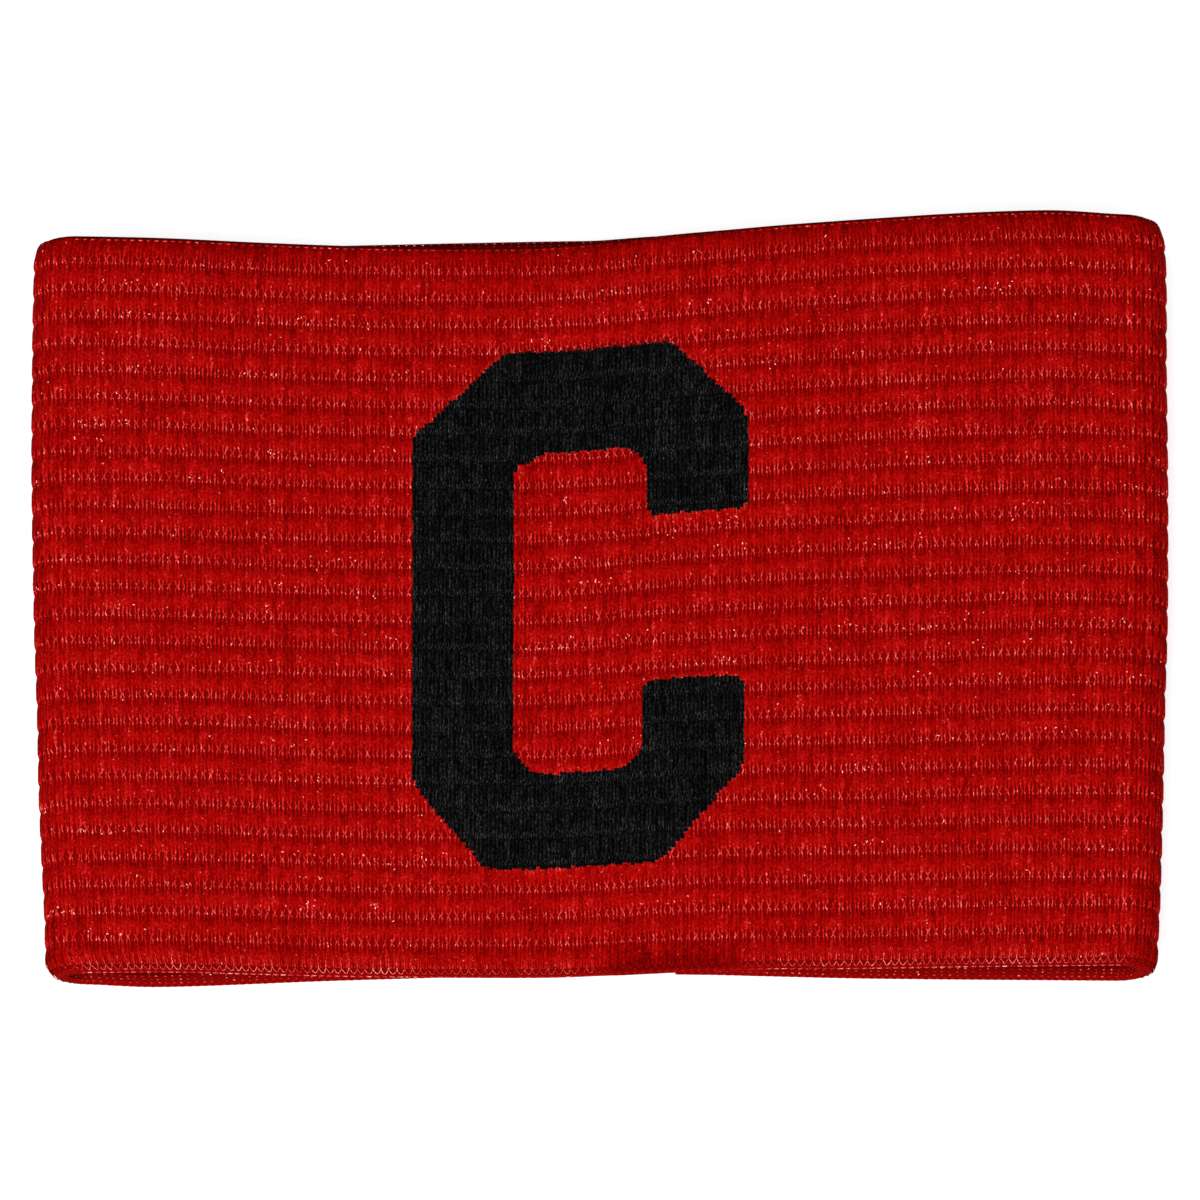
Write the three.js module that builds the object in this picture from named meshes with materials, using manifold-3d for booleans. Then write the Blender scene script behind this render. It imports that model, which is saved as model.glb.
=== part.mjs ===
// A team captain's armband: a loop of ribbed elastic webbing with a block letter woven into its
// face, lying flat on a table as it is stored. Millimetres, +Z up. X runs along the flattened loop,
// Y across the band, and the letter faces up. The origin is under the middle, on the table.
//
// The webbing is one strip, closed at the back by a sewn lap. The strip starts at the lap's outer
// end, runs right along the back, round the right fold, left along the front, round the left fold
// and right again along the back to the lap's inner end, which lies on top of the outer one.
import * as THREE from "three";
import { mergeVertices } from "three/addons/utils/BufferGeometryUtils.js";
import Module from "manifold-3d";

const wasm = await Module();
wasm.setup();

// The webbing
const bandWidth = 80;
const wall = 2; // from the edge ribs' crests to the inner face
const ribCount = 27;
const ribDepth = 0.5;
const ribCrest = 1.2; // the flat top of each rib
const edgeRib = 3.2; // the first and the last rib, which hold the woven edges
const edgeProud = 0.1; // how far those two stand above the ribs between them

// The flattened loop
const flatLength = 121.5;
const foldGap = 4.6; // clear height inside the two folds
const layerGap = 0.6; // clear height where front and back lie closest

// The sewn lap at the back
const lapPlace = 8; // where the outer end stops, right of the middle
const lapLength = 10;
const lapGap = 0.3;
const lapRamp = 9; // length over which the inner end climbs onto the outer one
const lapDrape = 16; // length over which the front comes down beside the lap

// The soft dent in the front's lower edge, over the lap
const dentPlace = 10; // right of the middle
const dentLength = 24;
const dentHeight = 11; // how far it reaches up from the edge
const dentDepth = 0.5;

// The woven letter
const letterHeight = 56.6;
const letterWidth = 35.5;
const letterPlace = -2.15; // its middle, right of the loop's middle
const letterStem = 10.8;
const letterTopBar = 11.2;
const letterLowBar = 10.4;
const letterArm = 10.5; // width of the two arm ends
const letterTopArm = 18.8; // height of the upper arm end
const letterLowArm = 19.8;
const letterLowIn = 0.45; // the lower arm stands this much further left
const letterDepth = 0.9; // from the edge ribs' crest level to the letter's underside
const letterRibDepth = 0.3; // the ribs are shallower under its close yarn
const letterProud = 0.1; // above the crests beside it
const letterClearance = 0.3;

// Corners cut off the letter, first the outer ones, then those of its counter. across: share of
// the width of the stem or arm there. up: share of the height of the bar there.
const letterCuts = {
  topLeft: { across: 0.9, up: 0.79 },
  topRight: { across: 0.7, up: 0.67 },
  lowRight: { across: 0.9, up: 1.02 },
  lowLeft: { across: 0.7, up: 0.87 },
  innerTopLeft: { across: 0.32, up: 0.15 },
  innerTopRight: { across: 0.18, up: 0.16 },
  innerLowRight: { across: 0.21, up: 0.19 },
  innerLowLeft: { across: 0.2, up: 0.22 },
};

// The two edges of the front and of the back. along: share of the half span between the folds.
// lower, upper: share of the band's width, up from its middle line.
const frontEdges = [
  { along: -1.0, lower: -0.4975, upper: 0.4995 },
  { along: -0.68, lower: -0.4962, upper: 0.4955 },
  { along: -0.25, lower: -0.4962, upper: 0.493 },
  { along: 0.0, lower: -0.4955, upper: 0.4975 },
  { along: 0.2, lower: -0.4905, upper: 0.509 },
  { along: 0.5, lower: -0.49, upper: 0.525 },
  { along: 0.85, lower: -0.4885, upper: 0.535 },
  { along: 1.0, lower: -0.4875, upper: 0.5295 },
];
const backEdges = [
  { along: -1.0, lower: -0.499, upper: 0.497 },
  { along: -0.85, lower: -0.5025, upper: 0.497 },
  { along: -0.5, lower: -0.494, upper: 0.502 },
  { along: -0.1, lower: -0.4865, upper: 0.508 },
  { along: 0.15, lower: -0.4855, upper: 0.51 },
  { along: 0.5, lower: -0.491, upper: 0.513 },
  { along: 1.0, lower: -0.494, upper: 0.525 },
];

// How far the front stands open. lift: share of the way from layerGap up to foldGap.
const frontLift = [
  { along: -1.0, lift: 1.0 },
  { along: -0.83, lift: 0.96 },
  { along: -0.62, lift: 0.5 },
  { along: -0.46, lift: 0.23 },
  { along: -0.25, lift: 0.1 },
  { along: 0.0, lift: 0.08 },
  { along: 0.2, lift: 0.2 },
  { along: 0.35, lift: 0.42 },
  { along: 0.55, lift: 0.8 },
  { along: 0.75, lift: 0.96 },
  { along: 1.0, lift: 1.0 },
];

// How far the two folds reach out, up the band. up: share of the band's width, from the lower
// edge. left, right: share of half the flat length.
const foldReach = [
  { up: 0.0, left: 0.955, right: 0.969 },
  { up: 0.02, left: 0.97, right: 0.976 },
  { up: 0.08, left: 0.9745, right: 0.982 },
  { up: 0.24, left: 0.985, right: 0.989 },
  { up: 0.35, left: 0.9886, right: 0.9925 },
  { up: 0.46, left: 0.994, right: 0.9975 },
  { up: 0.57, left: 0.9975, right: 0.999 },
  { up: 0.68, left: 1.0, right: 0.999 },
  { up: 0.79, left: 1.0, right: 0.9975 },
  { up: 0.95, left: 0.9975, right: 0.9965 },
  { up: 0.985, left: 0.9925, right: 0.988 },
  { up: 1.0, left: 0.985, right: 0.978 },
];

// How finely the strip and the plain faces are divided
const outerLapSteps = 2;
const rightBackSteps = 4;
const foldSteps = 8;
const frontSteps = 15;
const leftBackSteps = 4;
const rampSteps = 4;
const innerLapSteps = 2;
const innerRows = 8;
const letterRows = 2;
const sliver = 0.005; // points that a cut leaves closer than this to a line or to each other are merged

const foldRadius = (foldGap + wall) / 2; // to the wall's middle
const halfSpan = flatLength / 2 - foldGap / 2 - wall;
const floorLevel = wall / 2; // middle of a wall that lies on the table
const lapLevel = floorLevel + wall + lapGap;
const lapEnd = lapPlace + lapLength;
const rampEnd = lapPlace - 2 * lapGap; // the ramp keeps clear of the outer end
const rampStart = rampEnd - lapRamp;

const smooth = (share) => THREE.MathUtils.smoothstep(share, 0, 1);
const blend = THREE.MathUtils.lerp;

// A smooth curve through one column of a table, whose rows stand at the places in another
function column(table, name, placeName, place) {
  const last = table.length - 1;
  const row = (i) => table[THREE.MathUtils.clamp(i, 0, last)];
  const slope = (i) =>
    (row(i + 1)[name] - row(i - 1)[name]) / (row(i + 1)[placeName] - row(i - 1)[placeName]);
  const next = table.findIndex((entry, i) => i > 0 && place <= entry[placeName]);
  const i = next < 0 ? last - 1 : next - 1;
  const step = row(i + 1)[placeName] - row(i)[placeName];
  const t = THREE.MathUtils.clamp((place - row(i)[placeName]) / step, 0, 1);
  const bend = slope(i) * (1 - t) - slope(i + 1) * t;
  return blend(row(i)[name], row(i + 1)[name], smooth(t)) + bend * step * t * (1 - t);
}

// 1 over the lap, falling to 0 beside it
function overLap(x) {
  const beside = Math.max(lapPlace - x, x - lapEnd, 0);
  return 1 - smooth(beside / lapDrape);
}

// Middle of the front's wall above the table
function frontLevel(x) {
  const lift = column(frontLift, "lift", "along", x / halfSpan);
  const lapHeight = (wall + lapGap) * overLap(x) * (1 - lift);
  return floorLevel + wall + blend(layerGap, foldGap, lift) + lapHeight;
}

// 1 at the deepest place of the dent along the front, 0 beyond its ends
const dentShare = (x) => 1 - smooth(Math.abs(x - dentPlace) / (dentLength / 2));

const edgesAt = (table, along) => ({
  lower: bandWidth * column(table, "lower", "along", along),
  upper: bandWidth * column(table, "upper", "along", along),
});

// Places on the strip's middle, each with the band's two edges there
const onBack = (x, z) => ({ x, z, dent: 0, ...edgesAt(backEdges, x / halfSpan) });
const onFront = (x) => ({
  x,
  z: frontLevel(x),
  dent: dentShare(x),
  ...edgesAt(frontEdges, x / halfSpan),
});

const steps = (from, to, count) =>
  Array.from({ length: count }, (_, i) => blend(from, to, i / count));

// Places round a fold, from the back up to the front. side is 1 at the right, -1 at the left.
function foldPlaces(side) {
  const back = edgesAt(backEdges, side);
  const front = edgesAt(frontEdges, side);
  return [...steps(0, 1, foldSteps), 1].map((turn) => {
    const angle = Math.PI * (turn - 1 / 2);
    return {
      x: side * (halfSpan + foldRadius * Math.cos(angle)),
      z: floorLevel + foldRadius * (1 + Math.sin(angle)),
      dent: 0,
      lower: blend(back.lower, front.lower, smooth(turn)),
      upper: blend(back.upper, front.upper, smooth(turn)),
    };
  });
}

function rampPlace(x) {
  return onBack(x, blend(floorLevel, lapLevel, smooth((x - rampStart) / lapRamp)));
}

// All places along the strip, in its own order
function stripPlaces() {
  return [
    ...steps(lapPlace, lapEnd, outerLapSteps).map((x) => onBack(x, floorLevel)),
    ...steps(lapEnd, halfSpan, rightBackSteps).map((x) => onBack(x, floorLevel)),
    ...foldPlaces(1).slice(0, -1),
    ...steps(halfSpan, -halfSpan, frontSteps).map(onFront),
    ...foldPlaces(-1).reverse().slice(0, -1),
    ...steps(-halfSpan, rampStart, leftBackSteps).map((x) => onBack(x, floorLevel)),
    ...steps(rampStart, rampEnd, rampSteps).map(rampPlace),
    ...steps(rampEnd, lapEnd, innerLapSteps).map((x) => onBack(x, lapLevel)),
    onBack(lapEnd, lapLevel),
  ];
}

// Adds to each place the outward direction, at right angles to the strip there
function withDirections(places) {
  return places.map((at, i) => {
    const before = places[Math.max(i - 1, 0)];
    const after = places[Math.min(i + 1, places.length - 1)];
    const length = Math.hypot(after.x - before.x, after.z - before.z);
    const outX = (after.z - before.z) / length;
    const outZ = (before.x - after.x) / length;
    return { ...at, outX, outZ };
  });
}

// A point at a share of the way up the band and at a depth under the edge ribs' crests
function pointAt(at, up, depth) {
  const outward = wall / 2 - depth;
  const x = at.x + at.outX * outward;
  const side = x < 0 ? "left" : "right";
  const drawnIn = 1 - column(foldReach, side, "up", up);
  const nearFold = (x / (flatLength / 2)) ** 2;
  const dent = dentDepth * at.dent * (1 - smooth((up * bandWidth) / dentHeight));
  return [
    x * (1 - drawnIn * nearFold),
    blend(at.lower, at.upper, up),
    at.z + at.outZ * outward - dent,
  ];
}

// Rows across the ribs: for each rib its groove and the two edges of its crest
function ribbedRows(depth, proud) {
  const pitch = (bandWidth - 2 * edgeRib) / (ribCount - 2);
  const rows = [];
  let start = 0;
  for (let rib = 0; rib < ribCount; rib += 1) {
    const atEdge = rib === 0 || rib === ribCount - 1;
    const height = atEdge ? edgeRib : pitch;
    const crest = (atEdge ? 0 : edgeProud) - proud;
    const side = (height - ribCrest) / 2;
    rows.push({ up: start / bandWidth, depth: depth - proud });
    rows.push({ up: (start + side) / bandWidth, depth: crest });
    rows.push({ up: (start + side + ribCrest) / bandWidth, depth: crest });
    start += height;
  }
  rows.push({ up: 1, depth: depth - proud });
  return rows;
}

const plainRows = (count, depth) =>
  Array.from({ length: count + 1 }, (_, i) => ({ up: i / count, depth }));

// A closed sheet along some places of the strip, between rows on its outer and its inner face
function sheet(places, outerFace, innerFace) {
  const points = [];
  const index = [];
  const quad = (a, b, c, d) => index.push(a, b, c, a, c, d);
  const grid = (rows) =>
    places.map((at) => rows.map(({ up, depth }) => points.push(pointAt(at, up, depth)) - 1));
  const outer = grid(outerFace);
  const inner = grid(innerFace);
  const last = places.length - 1;
  for (let i = 0; i < last; i += 1) {
    for (let j = 0; j + 1 < outerFace.length; j += 1)
      quad(outer[i][j], outer[i][j + 1], outer[i + 1][j + 1], outer[i + 1][j]);
    for (let j = 0; j + 1 < innerFace.length; j += 1)
      quad(inner[i][j], inner[i + 1][j], inner[i + 1][j + 1], inner[i][j + 1]);
    quad(outer[i][0], outer[i + 1][0], inner[i + 1][0], inner[i][0]);
    quad(outer[i].at(-1), inner[i].at(-1), inner[i + 1].at(-1), outer[i + 1].at(-1));
  }
  const startFaces = endFaces(outer[0], outerFace, inner[0], innerFace);
  const stopFaces = endFaces(outer[last], outerFace, inner[last], innerFace);
  index.push(...startFaces.flat(), ...stopFaces.flatMap((face) => face.reverse()));
  return solidFrom(new Float32Array(points.flat()), new Uint32Array(index));
}

// Triangles across a cut end, stepping up whichever face is behind
function endFaces(outer, outerFace, inner, innerFace) {
  const faces = [];
  let [i, j] = [0, 0];
  while (i + 1 < outer.length || j + 1 < inner.length) {
    const outerUp = outerFace[i + 1]?.up ?? Infinity;
    const innerUp = innerFace[j + 1]?.up ?? Infinity;
    if (outerUp <= innerUp) {
      faces.push([outer[i], inner[j], outer[i + 1]]);
      i += 1;
    } else {
      faces.push([outer[i], inner[j], inner[j + 1]]);
      j += 1;
    }
  }
  return faces;
}

function solidFrom(vertProperties, triVerts) {
  return new wasm.Manifold(new wasm.Mesh({ numProp: 3, vertProperties, triVerts }));
}

function solidOf(geometry) {
  geometry.deleteAttribute("normal");
  geometry.deleteAttribute("uv");
  const merged = mergeVertices(geometry);
  return solidFrom(merged.attributes.position.array, new Uint32Array(merged.index.array));
}

function geometryOf(solid) {
  const { vertProperties, triVerts } = solid.simplify(sliver).getMesh();
  const geometry = new THREE.BufferGeometry();
  geometry.setAttribute("position", new THREE.BufferAttribute(vertProperties, 3));
  geometry.setIndex(new THREE.BufferAttribute(triVerts, 1));
  geometry.computeVertexNormals();
  return geometry;
}

// The letter's outline in mm from its lower left corner, anticlockwise from the lower bar
function letterOutline() {
  const cut = (name, width, height) => [
    letterCuts[name].across * width,
    letterCuts[name].up * height,
  ];
  const [lowLeftX, lowLeftY] = cut("lowLeft", letterStem, letterLowBar);
  const [lowRightX, lowRightY] = cut("lowRight", letterArm, letterLowBar);
  const [topRightX, topRightY] = cut("topRight", letterArm, letterTopBar);
  const [topLeftX, topLeftY] = cut("topLeft", letterStem, letterTopBar);
  const [innerLowRightX, innerLowRightY] = cut("innerLowRight", letterArm, letterLowBar);
  const [innerLowLeftX, innerLowLeftY] = cut("innerLowLeft", letterStem, letterLowBar);
  const [innerTopLeftX, innerTopLeftY] = cut("innerTopLeft", letterStem, letterTopBar);
  const [innerTopRightX, innerTopRightY] = cut("innerTopRight", letterArm, letterTopBar);
  const counterRight = letterWidth - letterArm;
  const counterTop = letterHeight - letterTopBar;
  const lowRight = letterWidth - letterLowIn;
  const lowCounterRight = counterRight - letterLowIn;
  const corners = [
    [lowLeftX, 0],
    [lowRight - lowRightX, 0],
    [lowRight, lowRightY],
    [lowRight, letterLowArm],
    [lowCounterRight, letterLowArm],
    [lowCounterRight, letterLowBar + innerLowRightY],
    [lowCounterRight - innerLowRightX, letterLowBar],
    [letterStem + innerLowLeftX, letterLowBar],
    [letterStem, letterLowBar + innerLowLeftY],
    [letterStem, counterTop - innerTopLeftY],
    [letterStem + innerTopLeftX, counterTop],
    [counterRight - innerTopRightX, counterTop],
    [counterRight, counterTop - innerTopRightY],
    [counterRight, letterHeight - letterTopArm],
    [letterWidth, letterHeight - letterTopArm],
    [letterWidth, letterHeight - topRightY],
    [letterWidth - topRightX, letterHeight],
    [topLeftX, letterHeight],
    [0, letterHeight - topLeftY],
    [0, lowLeftY],
  ];
  return corners.map(([x, y]) => new THREE.Vector2(x, y));
}

// The outline moved outwards by a distance, each corner along its mitre
function grown(outline, distance) {
  const count = outline.length;
  return outline.map((at, i) => {
    const into = at.clone().sub(outline[(i + count - 1) % count]).normalize();
    const onward = outline[(i + 1) % count].clone().sub(at).normalize();
    const mitre = new THREE.Vector2(into.y + onward.y, -into.x - onward.x);
    return at.clone().addScaledVector(mitre, distance / (1 + into.dot(onward)));
  });
}

// The outline laid along the ribs, and pushed up through the front
function letterPrism(outline) {
  const laid = outline.map(({ x, y }) => {
    const at = onFront(letterPlace - letterWidth / 2 + x);
    const up = 1 / 2 + (y - letterHeight / 2) / bandWidth;
    return new THREE.Vector2(at.x, blend(at.lower, at.upper, up));
  });
  const depth = 2 * (foldRadius + wall);
  const settings = { depth, bevelEnabled: false };
  return solidOf(new THREE.ExtrudeGeometry(new THREE.Shape(laid), settings));
}

// The places of the front that the letter lies on, and one more at each side
function letterPlaces(places) {
  const reach = letterWidth / 2 + 2 * letterClearance;
  const start = outerLapSteps + rightBackSteps + foldSteps;
  const front = places.slice(start, start + frontSteps + 1);
  const beyondRight = front.findLastIndex((at) => at.x > letterPlace + reach);
  const beyondLeft = front.findIndex((at) => at.x < letterPlace - reach);
  return front.slice(beyondRight, beyondLeft + 1);
}

const strip = withDirections(stripPlaces());
const underLetter = letterPlaces(strip);

const pocket = sheet(
  underLetter,
  plainRows(letterRows, -wall),
  plainRows(letterRows, letterDepth + letterClearance),
).intersect(letterPrism(grown(letterOutline(), letterClearance)));

const band = sheet(strip, ribbedRows(ribDepth, 0), plainRows(innerRows, wall)).subtract(pocket);

const letter = sheet(
  underLetter,
  ribbedRows(letterRibDepth, letterProud),
  plainRows(letterRows, letterDepth),
).intersect(letterPrism(letterOutline()));

const redElastic = new THREE.MeshStandardMaterial({
  name: "red_elastic",
  color: 0xa80f0e,
  roughness: 0.75,
  metalness: 0,
});
const blackYarn = new THREE.MeshStandardMaterial({
  name: "black_yarn",
  color: 0x111212,
  roughness: 0.85,
  metalness: 0,
});

function part(name, solid, material) {
  const mesh = new THREE.Mesh(geometryOf(solid), material);
  mesh.name = name;
  return mesh;
}

const armband = new THREE.Group();
armband.add(part("band", band, redElastic));
armband.add(part("letter", letter, blackYarn));

// The middle of the whole lies over the origin, and its underside on the table
const bounds = new THREE.Box3().setFromObject(armband);
const middle = bounds.getCenter(new THREE.Vector3());
armband.position.set(-middle.x, -middle.y, -bounds.min.z);

export default armband;
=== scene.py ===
import math
import bpy
import numpy as np
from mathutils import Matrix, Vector


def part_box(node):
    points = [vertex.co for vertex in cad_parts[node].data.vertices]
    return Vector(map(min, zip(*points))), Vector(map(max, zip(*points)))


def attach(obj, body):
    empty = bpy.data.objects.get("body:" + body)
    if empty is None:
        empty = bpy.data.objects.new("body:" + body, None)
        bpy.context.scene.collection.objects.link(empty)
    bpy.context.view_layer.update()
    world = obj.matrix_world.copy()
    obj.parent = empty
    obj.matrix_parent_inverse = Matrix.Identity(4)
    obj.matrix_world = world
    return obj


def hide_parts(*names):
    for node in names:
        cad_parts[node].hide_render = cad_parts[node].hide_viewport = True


# A captain's armband of ribbed elastic webbing, lying flat. The webbing is dressed with its real
# yarn: about 300 columns of two strands each, which float over the ribs and dive into the grooves.
# Sizes are in millimetres and turned to metres once, in onCloth.

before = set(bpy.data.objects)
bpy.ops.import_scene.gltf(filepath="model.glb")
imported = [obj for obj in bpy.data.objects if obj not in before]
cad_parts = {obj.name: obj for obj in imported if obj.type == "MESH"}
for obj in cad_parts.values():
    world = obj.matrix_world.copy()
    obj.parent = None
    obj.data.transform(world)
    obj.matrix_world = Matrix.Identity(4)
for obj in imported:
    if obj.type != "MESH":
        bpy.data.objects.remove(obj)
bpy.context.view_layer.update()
print("frame loaded")

mm = 0.001
luck = np.random.default_rng(27)

# The strip

webbing = {
    "width": 80.0,
    "wall": 2.0,  # from the edge ribs' crests to the inner face
    "ribCount": 27,
    "edgeRib": 3.2,  # the first and the last rib
    "edgeProud": 0.1,  # the edge ribs stand this much above the others
    "grooveDepth": 0.34,
    "flatLength": 121.5,
    "foldGap": 4.6,
    "layerGap": 0.6,
    "lapPlace": 8.0,
    "lapLength": 10.0,
    "lapGap": 0.3,
    "lapRamp": 9.0,
    "lapDrape": 16.0,
    "dentPlace": 10.0,
    "dentLength": 24.0,
    "dentHeight": 11.0,
    "dentDepth": 0.5,
}
# along (share of the half span), lower edge, upper edge (shares of the width)
frontEdges = [
    (-1.0, -0.4975, 0.4995),
    (-0.68, -0.4962, 0.4955),
    (-0.25, -0.4962, 0.493),
    (0.0, -0.4955, 0.4975),
    (0.2, -0.4905, 0.509),
    (0.5, -0.49, 0.525),
    (0.85, -0.4885, 0.535),
    (1.0, -0.4875, 0.5295),
]
backEdges = [
    (-1.0, -0.499, 0.497),
    (-0.85, -0.5025, 0.497),
    (-0.5, -0.494, 0.502),
    (-0.1, -0.4865, 0.508),
    (0.15, -0.4855, 0.51),
    (0.5, -0.491, 0.513),
    (1.0, -0.494, 0.525),
]
# along, lift (share of the way from layerGap up to foldGap)
frontLift = [
    (-1.0, 1.0),
    (-0.83, 0.96),
    (-0.62, 0.5),
    (-0.46, 0.23),
    (-0.25, 0.1),
    (0.0, 0.08),
    (0.2, 0.2),
    (0.35, 0.42),
    (0.55, 0.8),
    (0.75, 0.96),
    (1.0, 1.0),
]
# up (share of the width), left, right (shares of half the flat length)
foldReach = [
    (0.0, 0.955, 0.969),
    (0.02, 0.97, 0.976),
    (0.08, 0.9745, 0.982),
    (0.24, 0.985, 0.989),
    (0.35, 0.9886, 0.9925),
    (0.46, 0.994, 0.9975),
    (0.57, 0.9975, 0.999),
    (0.68, 1.0, 0.999),
    (0.79, 1.0, 0.9975),
    (0.95, 0.9975, 0.9965),
    (0.985, 0.9925, 0.988),
    (1.0, 0.985, 0.978),
]

foldRadius = (webbing["foldGap"] + webbing["wall"]) / 2
halfSpan = webbing["flatLength"] / 2 - webbing["foldGap"] / 2 - webbing["wall"]
floorLevel = webbing["wall"] / 2
lapLevel = floorLevel + webbing["wall"] + webbing["lapGap"]
lapEnd = webbing["lapPlace"] + webbing["lapLength"]
rampEnd = webbing["lapPlace"] - 2 * webbing["lapGap"]
rampStart = rampEnd - webbing["lapRamp"]
pathSteps = 10  # to a millimetre


def smooth(share):
    share = np.clip(share, 0, 1)
    return share * share * (3 - 2 * share)


# 0 up to start, 1 from full on
def grow(value, start, full):
    return smooth((value - start) / (full - start))


# 1 between a rise and a fall, each given by where it begins and ends
def between(value, rise, fall):
    return grow(value, *rise) * (1 - grow(value, *fall))


def blend(a, b, share):
    return a + (b - a) * share


# A smooth curve through one column of a table whose first column gives the places
def curve(table, column, place):
    at, value = np.array(table)[:, 0], np.array(table)[:, column]
    count = len(at)
    after = np.minimum(np.arange(count) + 1, count - 1)
    before = np.maximum(np.arange(count) - 1, 0)
    slope = (value[after] - value[before]) / (at[after] - at[before])
    i = np.clip(np.searchsorted(at, place) - 1, 0, count - 2)
    step = at[i + 1] - at[i]
    t = np.clip((place - at[i]) / step, 0, 1)
    bend = slope[i] * (1 - t) - slope[i + 1] * t
    return blend(value[i], value[i + 1], smooth(t)) + bend * step * t * (1 - t)


def frontLevel(x):
    lift = curve(frontLift, 1, x / halfSpan)
    beside = np.maximum(np.maximum(webbing["lapPlace"] - x, x - lapEnd), 0)
    overLap = 1 - smooth(beside / webbing["lapDrape"])
    lapHeight = (webbing["wall"] + webbing["lapGap"]) * overLap * (1 - lift)
    return floorLevel + webbing["wall"] + blend(webbing["layerGap"], webbing["foldGap"], lift) + lapHeight


# The strip's middle line in small steps, from the lap's outer end round to its inner one
def stripPath():
    def line(a, b):
        return np.linspace(a, b, int(abs(b - a) * pathSteps) + 1)[:-1]

    def back(x, z):
        lower, upper = (webbing["width"] * curve(backEdges, i, x / halfSpan) for i in (1, 2))
        return [x, z, lower, upper, 0 * x]

    def fold(side, turn):
        angle = np.pi * (turn - 0.5)
        x = side * (halfSpan + foldRadius * np.cos(angle))
        z = floorLevel + foldRadius * (1 + np.sin(angle))
        edges = [
            webbing["width"] * blend(curve(backEdges, i, side), curve(frontEdges, i, side), smooth(turn))
            for i in (1, 2)
        ]
        return [x, z, *edges, 0 * x]

    def front(x):
        lower, upper = (webbing["width"] * curve(frontEdges, i, x / halfSpan) for i in (1, 2))
        dent = 1 - smooth(np.abs(x - webbing["dentPlace"]) / (webbing["dentLength"] / 2))
        return [x, frontLevel(x), lower, upper, dent]

    turn = np.linspace(0, 1, int(np.pi * foldRadius * pathSteps) + 2)
    flatRight = line(webbing["lapPlace"], halfSpan)
    flatLeft = line(-halfSpan, rampStart)
    ramp = line(rampStart, rampEnd)
    inner = np.append(line(rampEnd, lapEnd), lapEnd)
    rampLevel = blend(floorLevel, lapLevel, smooth((ramp - rampStart) / webbing["lapRamp"]))
    runs = [
        back(flatRight, floorLevel + 0 * flatRight),
        fold(1, turn[:-1]),
        front(line(halfSpan, -halfSpan)),
        fold(-1, turn[::-1][:-1]),
        back(flatLeft, floorLevel + 0 * flatLeft),
        back(ramp, rampLevel),
        back(inner, lapLevel + 0 * inner),
    ]
    x, z, lower, upper, dent = (np.concatenate(column) for column in zip(*runs))
    length = np.concatenate([[0], np.cumsum(np.hypot(np.diff(x), np.diff(z)))])
    along = np.gradient(x, length), np.gradient(z, length)
    size = np.hypot(*along)
    isFront = np.concatenate([np.full(len(run[0]), i == 2) for i, run in enumerate(runs)])
    return {
        "length": length,
        "x": x,
        "z": z,
        "lower": lower,
        "upper": upper,
        "dent": dent,
        "outX": along[1] / size,
        "outZ": -along[0] / size,
        "front": isFront.astype(float),
    }


path = stripPath()
stripLength = path["length"][-1]
boxLow, boxHigh = (np.array(corner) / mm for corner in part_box("band"))
shiftY = (boxLow[1] + boxHigh[1]) / 2 - (path["lower"].min() + path["upper"].max()) / 2
print(f"strip {stripLength:.1f} mm long, shifted {shiftY:.2f} mm")


def alongPath(name, s):
    return np.interp(s, path["length"], path[name])


# Slow waves with lengths of several centimetres, about -1 to 1
def waves(chance, s, w, shortest, longest, count=6):
    total = 0
    for _ in range(count):
        length, angle = chance.uniform(shortest, longest), chance.uniform(0, np.pi)
        phase = chance.uniform(0, 2 * np.pi)
        total = total + np.sin(2 * np.pi * (s * np.cos(angle) + w * np.sin(angle)) / length + phase)
    return total / math.sqrt(count)


softness = {
    "crease": ((5.3, 0.5), (21.3, 10.3)),  # x and height of its two ends
    "creaseDepth": 0.16,
    "creaseWidth": 1.7,
    "creaseStart": (-2.0, 2.0),  # it deepens here, from the first end
    "creaseEnd": (-6.0, 2.0),  # and dies out here, from the other one
    "pressedStart": (-1.0, 3.0),  # the lower edge is pressed in from here
    "pressedEnd": (12.0, 17.0),  # up to here
    "pressedDepth": 0.45,
    "pressedHeight": 3.4,
    "pressedShade": 0.28,  # painted shade on the yarn where the edge is pressed in
    "foldShade": (0.0, 0.02),  # painted shade round the left and the right fold
    "foldRimShade": 0.1,  # and most at the very bend
    "foldStart": 1.8,  # how soon after the flat run the fold's look is reached
    "foldRelief": 0.7,  # the ribs are pulled flatter there
    "farEdge": (1.6, 3.6),  # painted shade from the upper edge, where the last rib rolls over
    "farEdgeShade": 0.1,
    "lastBit": (0.3, 0.5),  # and its very end
    "lastBitShade": 0.06,
    "stitchPull": 0.18,  # the lap's stitches draw the webbing in
    "stitchPullInside": 0.6,  # the inner face follows by this share
    "stitchPullWidth": 1.3,
}
stitchLines = [1.6, 8.4]  # along the strip from either end


# 1 in the middle of the part of the lower edge that is pressed in
def pressed(x, w):
    inside = between(x, softness["pressedStart"], softness["pressedEnd"])
    return inside * (1 - smooth(w / softness["pressedHeight"]))


# How far the front sinks where it is creased or pressed, w mm up the band
def sunk(x, w):
    (x0, w0), (x1, w1) = softness["crease"]
    length = math.hypot(x1 - x0, w1 - w0)
    ahead = ((x - x0) * (x1 - x0) + (w - w0) * (w1 - w0)) / length
    aside = ((x - x0) * (w1 - w0) - (w - w0) * (x1 - x0)) / length
    fade = grow(ahead, *softness["creaseStart"]) * (1 - grow(ahead - length, *softness["creaseEnd"]))
    crease = softness["creaseDepth"] * fade * np.exp(-((aside / softness["creaseWidth"]) ** 2))
    return crease + softness["pressedDepth"] * pressed(x, w) ** 2


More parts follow.
